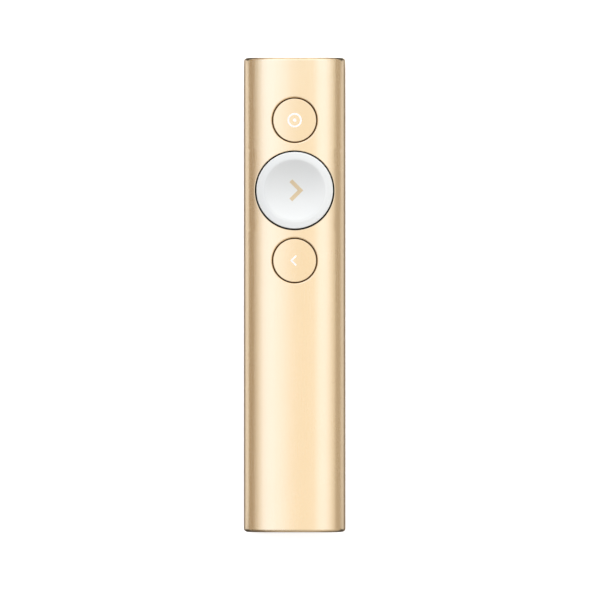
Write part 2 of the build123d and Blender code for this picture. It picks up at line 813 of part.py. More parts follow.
def make_receiver_board():
    """Small board behind the plug."""
    half = plug_width / 2
    along = (tail_face + recess_depth + receiver_wall + pocket_gap, plug_start - receiver_wall)
    top = plug_floor() + plug_tongue_height
    return block((-half, half), along, (top - receiver_board_thickness, top))


def make_receiver_strap():
    """Short woven strap across the nail recess."""
    half = recess_width / 2
    rear = tail_face + end_edge_round
    return block((-half, half), (rear, rear + strap_thickness),
                 (middle - strap_height / 2, middle + strap_height / 2))


# ---- light ----
def make_status_led():
    """Charge light at the board's front edge."""
    return block((-led_width / 2, led_width / 2), (board_front - led_length, board_front),
                 (board_top, board_top + led_height))


def make_light_pipe():
    """Clear rod from the light to the nose, with a head behind the cap's boss."""
    pipe = rod(pipe_radius, board_front + pocket_gap, nose_face, 0, light_z)
    head = rod(pipe_head_radius, chassis_front, chassis_front + pipe_head_length, 0, light_z)
    return one_solid(pipe + head)


# ---- every piece, by name ----
pieces = {
    "body_shell": make_body_shell(),
    "top_cap": make_top_cap(),
    "base_bezel": make_base_bezel(),
    "chassis": make_chassis(),
    "button_deck": make_button_deck(),
    "deck_screws": make_deck_screws(),
    "main_board": make_main_board(),
    "radio_chip": make_chip(radio_size, 0, (socket_rear + deck_rear) / 2),
    "motion_sensor": make_chip(sensor_size, tray_half_width - sensor_inset, deck_rear - sensor_step),
    "charger_chip": make_chip(charger_size, 0, socket_rear + charger_step),
    "chip_antenna": make_chip(antenna_size, antenna_inset - tray_half_width, board_front - antenna_step),
    "status_led": make_status_led(),
    "light_pipe": make_light_pipe(),
    "battery": make_battery(),
    "battery_tape": make_battery_tape(),
    "battery_socket": make_battery_socket(),
    "battery_leads": make_battery_leads(),
    "motor_can": make_motor_can(),
    "motor_pads": make_motor_pads(),
    "motor_shaft": make_motor_shaft(),
    "motor_weight": make_motor_weight(),
    "motor_leads": make_motor_leads(),
    "charge_socket": make_charge_socket(),
    "charge_tongue": make_charge_tongue(),
    "receiver_bay": make_receiver_bay(),
    "bay_screws": make_bay_screws(),
    "receiver_housing": make_receiver_housing(),
    "receiver_plug": make_receiver_plug(),
    "receiver_tongue": make_receiver_tongue(),
    "receiver_contacts": make_receiver_contacts(),
    "receiver_board": make_receiver_board(),
    "receiver_strap": make_receiver_strap(),
}
for name, y, cap_radius in buttons():
    is_next = name == "next"
    edge = cap_radius - next_rim_width - pocket_gap if is_next else cap_radius - carrier_inset
    pieces[name + "_cap"] = make_next_cap() if is_next else make_small_cap(y)
    pieces[name + "_carrier"] = make_carrier(y, cap_radius, edge)
    pieces[name + "_plunger"] = make_plunger(y)
    pieces[name + "_dome"] = make_dome(y)
    pieces[name + "_switch"] = make_switch(y)

os.makedirs("parts", exist_ok=True)
for name, piece in pieces.items():
    export_step(piece, "parts/" + name + ".step")
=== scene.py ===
from math import atan2, copysign, cos, exp, hypot, pi, radians, sin, sqrt

import bmesh
import bpy
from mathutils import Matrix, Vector


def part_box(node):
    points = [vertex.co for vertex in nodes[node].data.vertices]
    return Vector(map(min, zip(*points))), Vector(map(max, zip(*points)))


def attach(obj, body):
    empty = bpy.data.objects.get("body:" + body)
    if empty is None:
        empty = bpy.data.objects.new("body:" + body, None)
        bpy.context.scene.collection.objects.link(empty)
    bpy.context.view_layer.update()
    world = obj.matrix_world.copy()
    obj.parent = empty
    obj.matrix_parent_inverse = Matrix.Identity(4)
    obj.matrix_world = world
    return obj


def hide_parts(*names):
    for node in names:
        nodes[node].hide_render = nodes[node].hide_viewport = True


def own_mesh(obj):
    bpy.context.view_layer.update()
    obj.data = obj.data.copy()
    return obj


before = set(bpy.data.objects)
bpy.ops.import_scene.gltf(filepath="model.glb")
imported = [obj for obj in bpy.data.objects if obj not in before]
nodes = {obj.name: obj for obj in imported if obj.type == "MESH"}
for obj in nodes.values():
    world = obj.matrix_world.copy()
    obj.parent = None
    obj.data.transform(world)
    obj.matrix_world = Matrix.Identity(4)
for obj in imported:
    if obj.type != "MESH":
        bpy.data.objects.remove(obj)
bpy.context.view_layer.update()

scene = bpy.context.scene

# ---- Tube ----------------------------------------------------
# One length of extruded aluminium of oval section, bored on its front for three buttons. Its ends
# are rounded over and its back is planed flat; then it is bead-blasted and anodised pale gold.

mm = 0.001
tube_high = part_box("body_shell")[1]
half_width = tube_high.x
nose = tube_high.y
tube_top = tube_high.z
planed_depth = 0.25 * mm
oval_depth = (tube_top + planed_depth) / 2
middle = tube_top - oval_depth
crown_radius = 60 * mm
crown_turn = radians(5)
shoulder_turn = radians(22)
side_wall = 2 * mm
front_wall = 1.15 * mm
bore_half_width = half_width - side_wall
bore_depth = oval_depth - front_wall
end_round_side = 1.1 * mm
end_round_face = 0.7 * mm
end_round_length = 0.9 * mm

# The shades of a finish are its darkest and its lightest colour.
tube_shades = ((0.84, 0.675, 0.46), (0.87, 0.705, 0.49))
satin = 0.258
blast_size = 0.07 * mm
blast_depth = 0.0008 * mm
drawn_line = 0.25 * mm
tube_draw = 30 * mm
anodising_patch = 9 * mm
handling_mark = 22 * mm


class Signal:
    """A socket of a node tree. Sums of signals and numbers add Math nodes."""

    def __init__(self, tree, socket=None):
        self.tree = tree
        self.socket = socket

    def node(self, kind, settings=None, inputs=None, output=0):
        """Any node: its settings first, then the values or links of its sockets."""
        made = self.tree.nodes.new(kind)
        for name, value in (settings or {}).items():
            setattr(made, name, value)
        for name, value in (inputs or {}).items():
            if isinstance(value, Signal):
                self.tree.links.new(value.socket, made.inputs[name])
            else:
                made.inputs[name].default_value = value
        return Signal(self.tree, made.outputs[output])

    def math(self, operation, *others):
        """This signal and any others through a Math node."""
        return self.node("ShaderNodeMath", {"operation": operation}, dict(enumerate((self, *others))))

    def __add__(self, other):
        return self.math("ADD", other)

    def __sub__(self, other):
        return self.math("SUBTRACT", other)

    def __rsub__(self, other):
        return self.node("ShaderNodeMath", {"operation": "SUBTRACT"}, {0: other, 1: self})

    def __mul__(self, other):
        return self.math("MULTIPLY", other)

    def __truediv__(self, other):
        return self.math("DIVIDE", other)

    __radd__ = __add__
    __rmul__ = __mul__

    def above(self, level, soft):
        """0 well below a level and 1 well above it, with a soft step between."""
        smooth = {"interpolation_type": "SMOOTHSTEP"}
        edges = {"From Min": level - soft, "From Max": level + soft}
        return self.node("ShaderNodeMapRange", smooth, {"Value": self, **edges})

    def tint(self, low, high):
        """Colour that goes from low to high as this signal goes from 0 to 1; each may be a signal."""
        factor, low_side, high_side, colour = 0, 6, 7, 2
        low, high = (side if isinstance(side, Signal) else (*side, 1) for side in (low, high))
        sides = {factor: self, low_side: low, high_side: high}
        return self.node("ShaderNodeMix", {"data_type": "RGBA"}, sides, output=colour)

    def axis(self, name):
        """One axis of this place."""
        return self.node("ShaderNodeSeparateXYZ", inputs={0: self}, output=name)

    def scaled(self, x, y, z):
        """This place with each axis stretched."""
        return self.node("ShaderNodeVectorMath", {"operation": "MULTIPLY"}, {0: self, 1: (x, y, z)})

    def away(self, place):
        """Distance of this place from another."""
        ends = {0: self, 1: place}
        return self.node("ShaderNodeVectorMath", {"operation": "DISTANCE"}, ends, output="Value")

    def noise(self, size, detail=3):
        """Cloudy noise whose blotches are about this size."""
        return self.node("ShaderNodeTexNoise", {}, {"Vector": self, "Scale": 1 / size, "Detail": detail})

    def cells(self, size):
        """Distance from the middle of cells of about this size, as a share of it."""
        return self.node("ShaderNodeTexVoronoi", {}, {"Vector": self, "Scale": 1 / size}, output="Distance")

    def bump(self, height):
        """Normal for a surface raised by the signal times a height."""
        return self.node("ShaderNodeBump", {}, {"Height": self, "Distance": height, "Strength": 1.0})


class Finish:
    """A material: constants on its shader's own sockets, and signals for what varies."""

    def __init__(self, name, **constants):
        self.material = bpy.data.materials.new(name)
        self.material.use_nodes = True
        self.tree = self.material.node_tree
        self.shader = self.tree.nodes["Principled BSDF"]
        for key, value in constants.items():
            self.shader.inputs[key.replace("_", " ")].default_value = value
        self.place = Signal(self.tree).node("ShaderNodeTexCoord", output="Object")
        self.normal = Signal(self.tree, self.place.socket.node.outputs["Normal"])

    def feed(self, **signals):
        """Links what varies to the shader, and gives the material."""
        for key, signal in signals.items():
            self.tree.links.new(signal.socket, self.shader.inputs[key.replace("_", " ")])
        return self.material


def gold_finish(name, draw_length, shades):
    """Satin anodised gold: blasted grain, faint lines along the draw, and soft handling marks."""
    finish = Finish(name, Metallic=1.0, Coat_Weight=0.12, Coat_Roughness=0.16, Coat_IOR=1.55)
    place = finish.place
    drawn = place.scaled(1, mm / draw_length, 1).noise(drawn_line)
    patches = place.noise(anodising_patch)
    handled = place.noise(handling_mark, detail=4).above(0.58, 0.12)
    grain = place.noise(blast_size, detail=2)
    tone = 0.7 * patches + 0.3 * drawn
    return finish.feed(
        Base_Color=tone.tint(*shades),
        Roughness=satin + 0.006 * drawn + 0.008 * handled + 0.02 * grain,
        Normal=(grain + 0.05 * drawn).bump(blast_depth))


def oval_arcs(width, depth):
    """Radius and middle of the crown, shoulder and side arcs of an oval of this half size."""
    crown = crown_radius - (oval_depth - depth)
    across = width - crown * sin(crown_turn)
    down = depth - crown * (1 - cos(crown_turn))
    shoulder_run = sin(shoulder_turn) - sin(crown_turn)
    shoulder_fall = cos(crown_turn) - cos(shoulder_turn)
    side_run = 1 - sin(shoulder_turn)
    scale = shoulder_run * cos(shoulder_turn) - side_run * shoulder_fall
    shoulder = (across * cos(shoulder_turn) - side_run * down) / scale
    side = (shoulder_run * down - shoulder_fall * across) / scale
    inward = crown - shoulder
    shoulder_middle = (inward * sin(crown_turn), depth - crown + inward * cos(crown_turn))
    return (crown, 0, depth - crown), (shoulder, *shoulder_middle), (side, width - side, 0)


def oval_spot(width, depth, turn):
    """Place across an oval where its surface faces this far round from straight up."""
    crown, shoulder, side = oval_arcs(width, depth)
    steep = min(abs(turn), pi - abs(turn))
    radius, arc_x, arc_z = crown if steep <= crown_turn else shoulder if steep <= shoulder_turn else side
    up = 1 if abs(turn) <= pi / 2 else -1
    x = copysign(arc_x + radius * sin(steep), turn)
    return x, middle + up * (arc_z + radius * cos(steep))


def oval_height(width, depth, x):
    """Height of the top of an oval at x."""
    for (radius, arc_x, arc_z), last in zip(oval_arcs(width, depth), (crown_turn, shoulder_turn, pi / 2)):
        from_arc = abs(x) - arc_x
        if from_arc <= radius * sin(last):
            break
    return middle + arc_z + sqrt(max(radius ** 2 - from_arc ** 2, 0))


def crown_height(x):
    """Height of the tube's front at x."""
    return oval_height(half_width, oval_depth, x)


class Skin:
    """A mesh sewn from rows of places; places that fall together are joined."""

    weld = 0.0004 * mm

    def __init__(self):
        self.mesh = bmesh.new()

    def row(self, places):
        """Places of one row as corners of the mesh."""
        return [self.mesh.verts.new(place) for place in places]

    def join(self, low, high, closed=True):
        """Quads between two rows."""
        for i in range(len(low) if closed else len(low) - 1):
            j = (i + 1) % len(low)
            self.mesh.faces.new((low[i], low[j], high[j], high[i]))

    def rows(self, lists, closed=True):
        """Rows joined one to the next."""
        made = [self.row(places) for places in lists]
        for low, high in zip(made, made[1:]):
            self.join(low, high, closed)
        return made

    def close(self, row, place):
        """Fan from a closed row to one place."""
        centre = self.mesh.verts.new(place)
        for i, vert in enumerate(row):
            self.mesh.faces.new((vert, row[(i + 1) % len(row)], centre))

    def piece(self, name, body, material, slot=None, sharp=32):
        """The finished piece, riding on its body."""
        bmesh.ops.remove_doubles(self.mesh, verts=self.mesh.verts, dist=self.weld)
        bmesh.ops.recalc_face_normals(self.mesh, faces=self.mesh.faces)
        mesh = bpy.data.meshes.new(name)
        self.mesh.to_mesh(mesh)
        self.mesh.free()
        mesh.shade_smooth()
        mesh.set_sharp_from_angle(angle=radians(sharp))
        mesh.materials.append(material)
        made = bpy.data.objects.new(name, mesh)
        scene.collection.objects.link(made)
        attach(made, body)
        return made


def steps(start, end, count):
    """Even steps from start to end, both included."""
    return [start + (end - start) * i / count for i in range(count + 1)]


def quarter_round(radius, count):
    """Offsets along the round of an edge, as pairs: the one that starts slowly, then the other."""
    return [(radius * (1 - cos(lean)), radius * sin(lean)) for lean in steps(0, pi / 2, count)]


def radius_and_middle(node):
    """Radius of a round part, and its place along the tube."""
    low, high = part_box(node)
    return (high.x - low.x) / 2, (low.y + high.y) / 2


small_button_gap = 0.22 * mm
next_button_gap = 0.42 * mm
small_hole_round = 0.5 * mm
next_hole_round = 0.2 * mm
small_patch_turn = radians(15.7)
patch_turn = radians(60)
flat_turn = radians(5.645)
flat_edge = radians(0.12)
end_start_turn = radians(1)
ring_spacing = 3 * mm
line_spacing = 0.95 * mm
turn_slack = 1e-6

half_turns = sorted({*steps(0, crown_turn, 8), flat_turn, flat_turn + flat_edge,
                     *steps(crown_turn, shoulder_turn, 13)[1:], small_patch_turn,
                     *steps(shoulder_turn, patch_turn, 13)[1:]})
top_turns = [-turn for turn in reversed(half_turns[1:])] + half_turns
side_turns = steps(patch_turn, pi - patch_turn, 20)[1:-1]
under_turns = [copysign(pi, turn) - turn if turn else pi for turn in reversed(top_turns)]
ring_turns = top_turns + side_turns + under_turns + [-turn for turn in reversed(side_turns)]


def tube_ring(width, depth, y):
    """Closed row round the tube."""
    ring = []
    for turn in ring_turns:
        x, z = oval_spot(width, depth, turn)
        ring.append((x, y, max(z, 0)))
    return ring


def patch_edge(columns, lines):
    """Grid points round a rectangle of the front surface, in order."""
    edge = [(x, lines[0]) for x in columns[:-1]] + [(columns[-1], y) for y in lines[:-1]]
    edge += [(x, lines[-1]) for x in reversed(columns[1:])]
    return edge + [(columns[0], y) for y in reversed(lines[1:])]


def hole_patch(skin, edge, centre, reach, edge_round, bearings, height):
    """Front surface from the edge of its patch in to a round hole; gives the hole's row."""
    start = reach + edge_round
    count, crowding, last_share = 9, 1.3, 0.012
    rows = []
    for share in [(step / count) ** crowding for step in range(count, 0, -1)] + [last_share, 0]:
        row = []
        for (x, y), bearing in zip(edge, bearings):
            near_x = start * cos(bearing)
            near_y = centre + start * sin(bearing)
            x, y = near_x + (x - near_x) * share, near_y + (y - near_y) * share
            row.append((x, y, height(x)))
        rows.append(row)
    if edge_round:
        for drop, inward in quarter_round(edge_round, 9)[1:]:
            places = [((start - inward) * cos(b), (start - inward) * sin(b)) for b in bearings]
            rows.append([(x, centre + y, height(x) - drop) for x, y in places])
    return skin.rows(rows)[-1]


small_reach = radius_and_middle("pointer_cap")[0] + small_button_gap
next_reach = radius_and_middle("next_cap")[0] + next_button_gap
pointer_y = radius_and_middle("pointer_cap")[1]
next_y = radius_and_middle("next_cap")[1]
back_y = radius_and_middle("back_cap")[1]
patch_reach = 7.55 * mm
next_patch_reach = pointer_y - next_y - patch_reach
# Each band of the tube with a hole: its half length, the hole's middle, its radius and the round of
# its edge, and how far round the tube its patch goes.
hole_bands = [(patch_reach, back_y, small_reach, small_hole_round, small_patch_turn),
              (next_patch_reach, next_y, next_reach, next_hole_round, patch_turn),
              (patch_reach, pointer_y, small_reach, small_hole_round, small_patch_turn)]
barrel_end = nose - end_round_length


def tube_wall(skin, width, depth, has_rounds, first_y, last_y):
    """Outer or inner wall of the tube between two places along it; gives its three holes' rows."""
    count = len(ring_turns)
    holes = []
    reached = first_y
    for patch, centre, reach, edge_round, last_turn in hole_bands:
        low, high = centre - patch, centre + patch
        if low > reached:
            plain = steps(reached, low, max(2, round((low - reached) / ring_spacing)))
            skin.rows([tube_ring(width, depth, y) for y in plain])
        lines = steps(low, high, round((high - low) / line_spacing))
        kept = [i for i, turn in enumerate(top_turns) if abs(turn) <= last_turn + turn_slack]
        rings = [tube_ring(width, depth, y) for y in lines]
        beside = [(kept[-1] + i) % count for i in range(count - len(kept) + 2)]
        skin.rows([[ring[i] for i in beside] for ring in rings], closed=False)
        columns = [rings[0][i][0] for i in kept]
        outer_columns = [oval_spot(half_width, oval_depth, top_turns[i])[0] for i in kept]
        bearings = [atan2(y - centre, x) for x, y in patch_edge(outer_columns, lines)]
        holes.append(hole_patch(skin, patch_edge(columns, lines), centre, reach,
                                edge_round if has_rounds else 0, bearings,
                                lambda x: oval_height(width, depth, x)))
        reached = high
    plain = steps(reached, last_y, round((last_y - reached) / ring_spacing))
    skin.rows([tube_ring(width, depth, y) for y in plain])
    return holes


def end_ring(turn, side):
    """Row round the rounded end: turn is 0 where the rounding starts."""
    inset = 1 - cos(turn)
    y = side * (nose - end_round_length * (1 - sin(turn)))
    return tube_ring(half_width - end_round_side * inset, oval_depth - end_round_face * inset, y)


tube = Skin()
outer_holes = tube_wall(tube, half_width, oval_depth, True, -barrel_end, barrel_end)
inner_holes = tube_wall(tube, bore_half_width, bore_depth, False, -nose, nose)
for outer_row, inner_row in zip(outer_holes, inner_holes):
    tube.join(outer_row, inner_row)
for side in (-1, 1):
    end_rows = [end_ring(turn, side) for turn in [0, end_start_turn, *steps(0, pi / 2, 12)[1:]]]
    tube.rows(end_rows + [tube_ring(bore_half_width, bore_depth, side * nose)])
tube_gold = gold_finish("satin_gold_tube", tube_draw, tube_shades)
tube_piece = tube.piece("gold_tube", "casing", tube_gold, "gold_shell")
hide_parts("body_shell")

# ---- Nose cap and light pipe ---------------------------------
# A moulded pale grey plug glued into the nose of the tube, a hair proud of it, with a clear rod
# through it that carries the charge light to the outside.

end_edge_round = 0.2 * mm
edge_hold = 0.05 * mm
glue_gap = 0.05 * mm
pipe_hole = 0.75 * mm
grey_shades = ((0.43, 0.435, 0.43), (0.46, 0.465, 0.46))
clear_shades = ((0.80, 0.83, 0.84), (0.92, 0.94, 0.95))
spark_size = 0.11 * mm
spark_depth = 0.0016 * mm
flow_mark = 6 * mm
frost_size = 0.2 * mm
frost_depth = 0.002 * mm


def moulded_finish(name, colour):
    """Moulded plastic with a fine spark texture, coloured by its place and its flow marks."""
    finish = Finish(name, IOR=1.5, Coat_Weight=0.12, Coat_Roughness=0.22, Coat_IOR=1.5)
    spark = finish.place.noise(spark_size)
    flow = finish.place.noise(flow_mark, detail=2)
    return finish.feed(
        Base_Color=colour(finish.place, flow),
        Roughness=0.36 + 0.07 * spark + 0.03 * flow,
        Normal=spark.bump(spark_depth))


grey_moulding = moulded_finish("pale_grey_moulding", lambda place, flow: flow.tint(*grey_shades))


def plug_ring(inset, y):
    """Row round a plug in the bore, inset from the bore's wall."""
    return tube_ring(bore_half_width - glue_gap - inset, bore_depth - glue_gap - inset, y)


def circle_row(ring, radius, centre_z, y):
    """Round row in line with the places of an oval row."""
    row = []
    for x, _, z in ring:
        bearing = atan2(z - centre_z, x)
        row.append((radius * cos(bearing), y, centre_z + radius * sin(bearing)))
    return row


def between(low, high, shares):
    """Rows between two rows, at these shares of the way."""
    return [[tuple(a + (b - a) * share for a, b in zip(start, end)) for start, end in zip(low, high)]
            for share in shares]


cap_low, cap_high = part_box("top_cap")
pipe_low, pipe_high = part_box("light_pipe")
light_z = (pipe_low.z + pipe_high.z) / 2
nose_face = cap_high.y
nose_cap = Skin()
face_rows = [plug_ring(0, cap_low.y), plug_ring(0, nose_face - end_edge_round - edge_hold)]
for inset, along in quarter_round(end_edge_round, 6):
    face_rows.append(plug_ring(inset, nose_face - end_edge_round + along))
rim_row = plug_ring(end_edge_round, nose_face)
pipe_row = circle_row(rim_row, pipe_hole, light_z, nose_face)
face_rows += between(rim_row, pipe_row, [0.04, 0.2, 0.4, 0.6, 0.8, 0.95, 1])
back_row = circle_row(rim_row, pipe_hole, light_z, cap_low.y)
face_rows += [back_row] + between(back_row, face_rows[0], [0.5, 1])
nose_cap.rows(face_rows)
nose_piece = nose_cap.piece("nose_cap", "casing", grey_moulding, "pale_grey_plastic")
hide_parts("top_cap")


def clear_finish():
    """Clear moulded rod with a slightly frosted end."""
    finish = Finish("clear_rod", Transmission_Weight=0.85, IOR=1.49)
    frost = finish.place.noise(frost_size)
    return finish.feed(
        Base_Color=frost.tint(*clear_shades),
        Roughness=0.12 + 0.2 * frost,
        Normal=frost.bump(frost_depth))


def dress(material, *names):
    """Gives CAD nodes their material."""
    for name in names:
        for slot in nodes[name].material_slots:
            slot.material = material


dress(clear_finish(), "light_pipe")

# ---- Tail bezel ----------------------------------------------
# A moulded pale grey ring glued into the tail of the tube round the mouth of the receiver bay. The
# edge of its mouth is broken so that the receiver finds its way in.

receiver_gap = 0.2 * mm
receiver_corner = 1.8 * mm
mouth_round = 0.15 * mm
tiny = 1e-9
receiver_low, receiver_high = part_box("receiver_housing")
mouth_width = receiver_high.x + receiver_gap
mouth_height = (receiver_high.z - receiver_low.z) / 2 + receiver_gap
mouth_corner = receiver_corner + receiver_gap


def slot_row(ring, half_wide, half_high, corner, y):
    """Row round a rounded slot, in line with the places of an oval row."""
    row = []
    for x, _, z in ring:
        reach = hypot(x, z - middle)
        run, rise = abs(x) / reach, abs(z - middle) / reach
        out = half_wide / max(run, tiny)
        if out * rise > half_high - corner:
            out = half_high / max(rise, tiny)
            if out * run > half_wide - corner:
                centre_x, centre_z = half_wide - corner, half_high - corner
                along = centre_x * run + centre_z * rise
                out = along + sqrt(max(along ** 2 - centre_x ** 2 - centre_z ** 2 + corner ** 2, 0))
        row.append((copysign(out * run, x), y, middle + copysign(out * rise, z - middle)))
    return row


bezel_low, bezel_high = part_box("base_bezel")
tail_face = bezel_low.y
outer_row = plug_ring(end_edge_round, tail_face)
bezel = Skin()
bezel_rows = [plug_ring(0, bezel_high.y), plug_ring(0, tail_face + end_edge_round + edge_hold)]
for inset, along in quarter_round(end_edge_round, 6):
    bezel_rows.append(plug_ring(inset, tail_face + end_edge_round - along))
mouth_rows = []
for inset, along in quarter_round(mouth_round, 5):
    spread = mouth_round - along
    mouth_rows.append(slot_row(outer_row, mouth_width + spread, mouth_height + spread,
                               mouth_corner + spread, tail_face + inset))
bezel_rows += between(outer_row, mouth_rows[0], [0.05, 0.35, 0.65, 0.95]) + mouth_rows
inside_row = slot_row(outer_row, mouth_width, mouth_height, mouth_corner, bezel_high.y)
bezel_rows += [inside_row, bezel_rows[0]]
bezel.rows(bezel_rows)
bezel_piece = bezel.piece("tail_bezel", "casing", grey_moulding, "pale_grey_plastic")
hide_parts("base_bezel")

# ---- Small button caps ---------------------------------------
# Two turned aluminium caps, a little flatter on top than the tube they sit in, with a fine edge
# round. They are anodised like the tube; their signs are printed on.

small_cap_crown = 70 * mm
cap_edge_round = 0.2 * mm
cap_edge_hold = 0.03 * mm
cap_facets = 128
cap_draw = 4 * mm
cap_shades = ((0.83, 0.66, 0.44), (0.855, 0.688, 0.465))


def small_cap_height(x, y):
    """Height of a small cap's top; it is curved across the tube only."""
    return tube_top - small_cap_crown + sqrt(small_cap_crown ** 2 - x ** 2)


def circle(radius, facets):
    """Places round a circle, from its middle."""
    turns = [2 * pi * i / facets for i in range(facets)]
    return [(radius * cos(turn), radius * sin(turn)) for turn in turns]


def cap_skin(radius, centre, base, top, edge_round=cap_edge_round):
    """Cap with a top of this height, a rounded edge, a wall and a flat underside."""
    skin = Skin()
    flat = radius - edge_round
    outs_and_drops = [(out, 0) for out in steps(0, flat, 22)[1:-1] + [flat - cap_edge_hold]]
    outs_and_drops += [(flat + out, drop) for drop, out in quarter_round(edge_round, 6)]
    rows = [[(x, centre + y, top(x, y) - drop) for x, y in circle(out, cap_facets)]
            for out, drop in outs_and_drops]
    rows.append([(x, centre + y, base) for x, y in circle(radius, cap_facets)])
    made = skin.rows(rows)
    skin.close(made[0], (0, centre, top(0, 0)))
    skin.close(made[-1], (0, centre, base))
    return skin


gold_cap = gold_finish("satin_gold_cap", cap_draw, cap_shades)
for button in ("pointer", "back"):
    cap_radius, cap_y = radius_and_middle(button + "_cap")
    cap = cap_skin(cap_radius, cap_y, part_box(button + "_cap")[0].z, small_cap_height)
    cap_piece = cap.piece(button + "_gold_cap", button + "_button", gold_cap, "gold_cap")
    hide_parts(button + "_cap")

# ---- Large button cap ----------------------------------------
# White moulded cap that stands proud of the tube. A ring round its edge follows the tube's crown,
# and inside the ring a shallow dish, painted a shade greyer as shade in its hollow, takes the thumb;
# they meet in a narrow shoulder.

ring_rise = 0.4 * mm
ring_width = 2.06 * mm
dish_depth = 0.9 * mm
ring_fall = 0.045 * mm
shoulder_soft = 0.08 * mm
shoulder_fillet = 0.11 * shoulder_soft
white_edge_round = 0.12 * mm
ring_shades = ((0.760, 0.785, 0.785), (0.780, 0.805, 0.805))
# Painted shade: the dish's white, a shade greyer than the ring's.
dish_painted_shade = ((0.717, 0.740, 0.740), (0.735, 0.758, 0.758))
next_radius = radius_and_middle("next_cap")[0]
dish_radius = next_radius - ring_width


def next_cap_height(x, y):
    """Height of the cap's top, by place from its middle."""
    out = hypot(x, y)
    dish = dish_depth * ((out / dish_radius) ** 2 - 1)
    ring = -ring_fall * ((out - dish_radius) / ring_width) ** 2 if out > dish_radius else 0
    fillet = shoulder_fillet * exp(-abs(dish - ring) / (2 * shoulder_fillet))
    return crown_height(x) + ring_rise + min(dish, ring) - fillet


def next_cap_colour(place, flow):
    """White of the ring, and of the dish inside it, painted a shade greyer as shade in its hollow."""
    ring = place.scaled(1, 1, 0).away((0, next_y, 0)).above(dish_radius, shoulder_soft)
    # Inside the ring the dish takes the painted shade.
    return ring.tint(flow.tint(*dish_painted_shade), flow.tint(*ring_shades))


next_skin = cap_skin(next_radius, next_y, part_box("next_cap")[0].z, next_cap_height, white_edge_round)
white_cap = moulded_finish("white_cap", next_cap_colour)
next_piece = next_skin.piece("next_white_cap", "next_button", white_cap, "white_plastic")
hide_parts("next_cap")

# ---- Printed signs -------------------------------------------
# Thin films of ink on the caps: a ring and dot for the pointer, a gold arrow head for next and a
# small white one for back.

ink_thickness = 0.012 * mm
ink_sink = 0.03 * mm
ink_speck = 0.06 * mm
ink_depth = 0.001 * mm
ink_facets = 96
white_ink_shades = ((0.93, 0.93, 0.92), (0.98, 0.98, 0.97))
gold_ink_shades = ((0.63, 0.50, 0.31), (0.69, 0.56, 0.36))
pointer_ring = (1.5 * mm, 1.99 * mm)
pointer_dot = (0.02 * mm, 0.47 * mm)
next_arrow = (3.05 * mm, 1.1 * mm, 1, 2.38 * mm)
back_arrow = (1.5 * mm, 0.46 * mm, -1, -1.23 * mm)


def ink_finish(name, shades):
    """Pad-printed ink, faintly specked."""
    finish = Finish(name, IOR=1.48)
    speck = finish.place.noise(ink_speck)
    return finish.feed(
        Base_Color=speck.tint(*shades),
        Roughness=0.42 + 0.12 * speck,
        Normal=speck.bump(ink_depth))


def film(rows, centre, top, closed):
    """Closed film of ink over a grid of places from the cap's middle."""
    skin = Skin()
    upper = [[(x, centre + y, top(x, y) + ink_thickness) for x, y in row] for row in rows]
    lower = [[(x, centre + y, top(x, y) - ink_sink) for x, y in row] for row in rows]
    skin.rows(upper + lower[::-1] + upper[:1], closed)
    if not closed:
        for end in (0, -1):
            skin.rows([[row[end] for row in side] for side in (upper, lower)], closed=False)
    return skin


def round_film(inner, outer, centre, top):
    """Ring of ink between two radii."""
    return film([circle(out, ink_facets) for out in steps(inner, outer, 6)], centre, top, True)


def arrow_film(half_high, stroke, side, tip_x, centre, top):
    """Arrow head with arms at half a right angle; side is the way that its tip at tip_x points."""
    reach = half_high - stroke / sqrt(8)
    rows = []
    for across in steps(-1, 1, 4):
        arm = []
        for share in steps(-1, 1, 24):
            back_x = -abs(share) * reach
            lean = across * copysign(stroke / sqrt(8), share) if share else 0
            run = across * stroke / (sqrt(8) if share else sqrt(2))
            arm.append((tip_x + side * (back_x + run - stroke / sqrt(2)), share * reach + lean))
        rows.append(arm)
    return film(rows, centre, top, False)


white_ink = ink_finish("white_ink", white_ink_shades)
gold_ink = ink_finish("gold_ink", gold_ink_shades)
ring_sign = round_film(*pointer_ring, pointer_y, small_cap_height)
ring_sign.piece("pointer_ring_sign", "pointer_button", white_ink)
dot_sign = round_film(*pointer_dot, pointer_y, small_cap_height)
dot_sign.piece("pointer_dot_sign", "pointer_button", white_ink)
next_sign = arrow_film(*next_arrow, next_y, next_cap_height)
next_sign.piece("next_arrow_sign", "next_button", gold_ink)
back_sign = arrow_film(*back_arrow, back_y, small_cap_height)
back_sign.piece("back_arrow_sign", "back_button", white_ink)

# ---- Button carriers -----------------------------------------
# Each cap is glued to a carrier moulded in glass-filled nylon, with a stem that presses its switch
# and two snap legs that hook under the deck.

charcoal_shades = ((0.030, 0.031, 0.033), (0.052, 0.053, 0.056))
fibre_size = 0.3 * mm
fibre_depth = 0.006 * mm
resin_flow = 11 * mm


def charcoal_finish():
    """Glass-filled moulding: matt charcoal, with fibre streaks along the flow."""
    finish = Finish("charcoal_moulding", IOR=1.52)
    fibres = finish.place.scaled(1, 0.15, 1).noise(fibre_size, detail=4)
    flow = finish.place.noise(resin_flow)
    return finish.feed(
        Base_Color=(0.6 * flow + 0.4 * fibres).tint(*charcoal_shades),
        Roughness=0.5 + 0.16 * fibres + 0.06 * flow,
        Normal=fibres.bump(fibre_depth))


charcoal = charcoal_finish()
buttons = ("pointer", "next", "back")
dress(charcoal, *(button + "_carrier" for button in buttons))

# ---- Switches ------------------------------------------------
# One snap switch under each button: a black epoxy case, a stamped steel dome that clicks and a black
# plunger on top of it, which rides with the button above.

epoxy_shades = ((0.014, 0.014, 0.015), (0.030, 0.030, 0.032))
epoxy_grain = 0.05 * mm
epoxy_cloud = 2 * mm
epoxy_depth = 0.003 * mm
dimple_depth = 8
nickel_shades = ((0.58, 0.57, 0.55), (0.70, 0.69, 0.67))
rolling_line = 0.12 * mm
rolling_depth = 0.0006 * mm
smear_size = 4 * mm
dome_sheet = 0.08 * mm
dome_facets = 64


